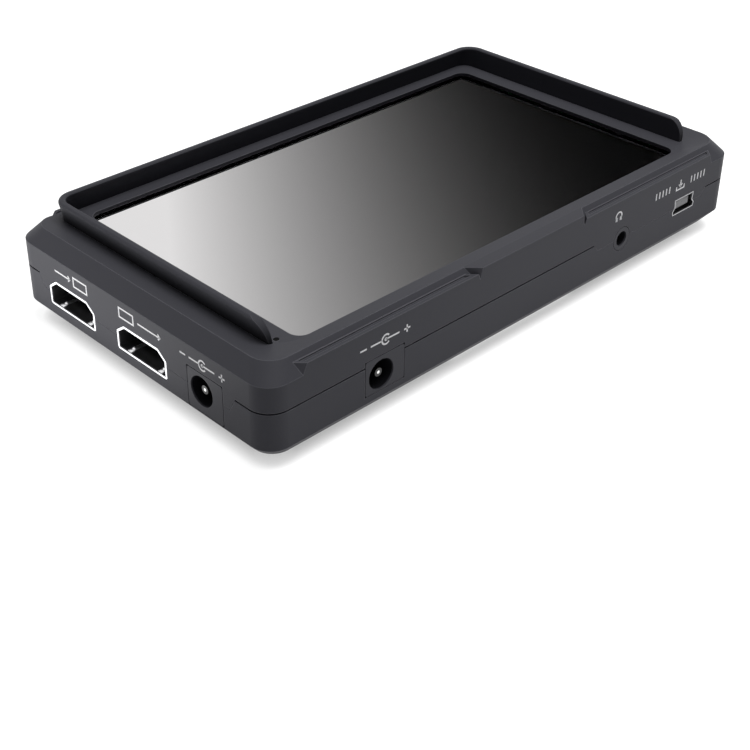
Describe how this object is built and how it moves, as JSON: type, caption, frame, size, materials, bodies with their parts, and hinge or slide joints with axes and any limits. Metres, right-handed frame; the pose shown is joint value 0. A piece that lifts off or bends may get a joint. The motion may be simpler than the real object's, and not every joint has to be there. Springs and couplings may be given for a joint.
{
  "type": "camera field monitor",
  "caption": "Flat camera monitor with a low sun hood, side video sockets, sprung top keys, and a rear bay with hooks and a latch for a slide-on battery.",
  "frame": {"origin": "centre of the footprint, at the tip of the latch grip behind the back face", "axes": "+X along the width, +Y towards the key edge, +Z out of the screen"},
  "size_m": [0.148, 0.0824, 0.0272],
  "materials": {
    "housing": "fine matt texture",
    "hood": "matt",
    "screen_glass": "polished",
    "rubber_seal": "matt",
    "lcd": "gloss",
    "backlight": "matt",
    "tray_steel": "plain",
    "flat_cable": "satin",
    "circuit_board": "satin",
    "chip": "matt",
    "sink": "plain",
    "switch_body": "matt",
    "key": "matt",
    "stem": "matt",
    "socket_metal": "bright",
    "socket_tongue": "matt",
    "jack_body": "satin",
    "contact_metal": "bright",
    "light": "clear",
    "plate": "matt",
    "spring_steel": "drawn",
    "insert_brass": "turned",
    "screw_steel": "black plated"
  },
  "bodies": {
    "monitor": {"backlight_unit": "backlight", "battery_contacts": "contact_metal", "battery_plate": "plate", "board_chips": "chip", "board_screws": "screw_steel", "case_screws": "screw_steel", "cover_glass": "screen_glass", "dc_in_jack": "jack_body", "dc_in_pin": "contact_metal", "dc_out_jack": "jack_body", "dc_out_pin": "contact_metal", "foam_seal": "rubber_seal", "front_shell": "housing", "glass_gasket": "rubber_seal", "headphone_jack": "jack_body", "heat_sink": "sink", "key_board": "circuit_board", "key_flex": "flat_cable", "key_switches": "switch_body", "latch_retainer": "tray_steel", "latch_spring": "spring_steel", "lcd_cell": "lcd", "lcd_flex": "flat_cable", "lcd_tray": "tray_steel", "light_pipe": "light", "main_board": "circuit_board", "mount_insert": "insert_brass", "plate_screws": "screw_steel", "power_parts": "chip", "processor_chip": "chip", "rear_shell": "housing", "service_socket_shell": "socket_metal", "service_socket_tongue": "socket_tongue", "status_led": "light", "sun_hood": "hood", "terminal_block": "plate", "video_in_shell": "socket_metal", "video_in_tongue": "socket_tongue", "video_out_shell": "socket_metal", "video_out_tongue": "socket_tongue"},
    "function_key_1_button": {"function_key_1": "key", "function_key_1_stem": "stem"},
    "function_key_2_button": {"function_key_2": "key", "function_key_2_stem": "stem"},
    "left_key_button": {"left_key": "key", "left_key_stem": "stem"},
    "right_key_button": {"right_key": "key", "right_key_stem": "stem"},
    "menu_key_button": {"menu_key": "key", "menu_key_stem": "stem"},
    "down_key_button": {"down_key": "key", "down_key_stem": "stem"},
    "up_key_button": {"up_key": "key", "up_key_stem": "stem"},
    "power_key_button": {"power_key": "key", "power_key_stem": "stem"},
    "latch": {"battery_latch": "plate"}
  },
  "joints": [
    {"name": "function_key_1_press", "type": "slide", "parent": "monitor", "child": "function_key_1_button", "axis": [0, -1, 0], "range_m": [0, 0.00035], "stiffness_N_per_m": 900, "springref_m": -0.0009},
    {"name": "function_key_2_press", "type": "slide", "parent": "monitor", "child": "function_key_2_button", "axis": [0, -1, 0], "range_m": [0, 0.00035], "stiffness_N_per_m": 900, "springref_m": -0.0009},
    {"name": "left_key_press", "type": "slide", "parent": "monitor", "child": "left_key_button", "axis": [0, -1, 0], "range_m": [0, 0.00035], "stiffness_N_per_m": 900, "springref_m": -0.0009},
    {"name": "right_key_press", "type": "slide", "parent": "monitor", "child": "right_key_button", "axis": [0, -1, 0], "range_m": [0, 0.00035], "stiffness_N_per_m": 900, "springref_m": -0.0009},
    {"name": "menu_key_press", "type": "slide", "parent": "monitor", "child": "menu_key_button", "axis": [0, -1, 0], "range_m": [0, 0.00035], "stiffness_N_per_m": 900, "springref_m": -0.0009},
    {"name": "down_key_press", "type": "slide", "parent": "monitor", "child": "down_key_button", "axis": [0, -1, 0], "range_m": [0, 0.00035], "stiffness_N_per_m": 900, "springref_m": -0.0009},
    {"name": "up_key_press", "type": "slide", "parent": "monitor", "child": "up_key_button", "axis": [0, -1, 0], "range_m": [0, 0.00035], "stiffness_N_per_m": 900, "springref_m": -0.0009},
    {"name": "power_key_press", "type": "slide", "parent": "monitor", "child": "power_key_button", "axis": [0, -1, 0], "range_m": [0, 0.00035], "stiffness_N_per_m": 900, "springref_m": -0.0009},
    {"name": "battery_latch_press", "type": "slide", "parent": "monitor", "child": "latch", "axis": [0, 0, 1], "range_m": [0, 0.002], "stiffness_N_per_m": 450, "springref_m": -0.004, "deforming": ["latch_spring"]}
  ]
}
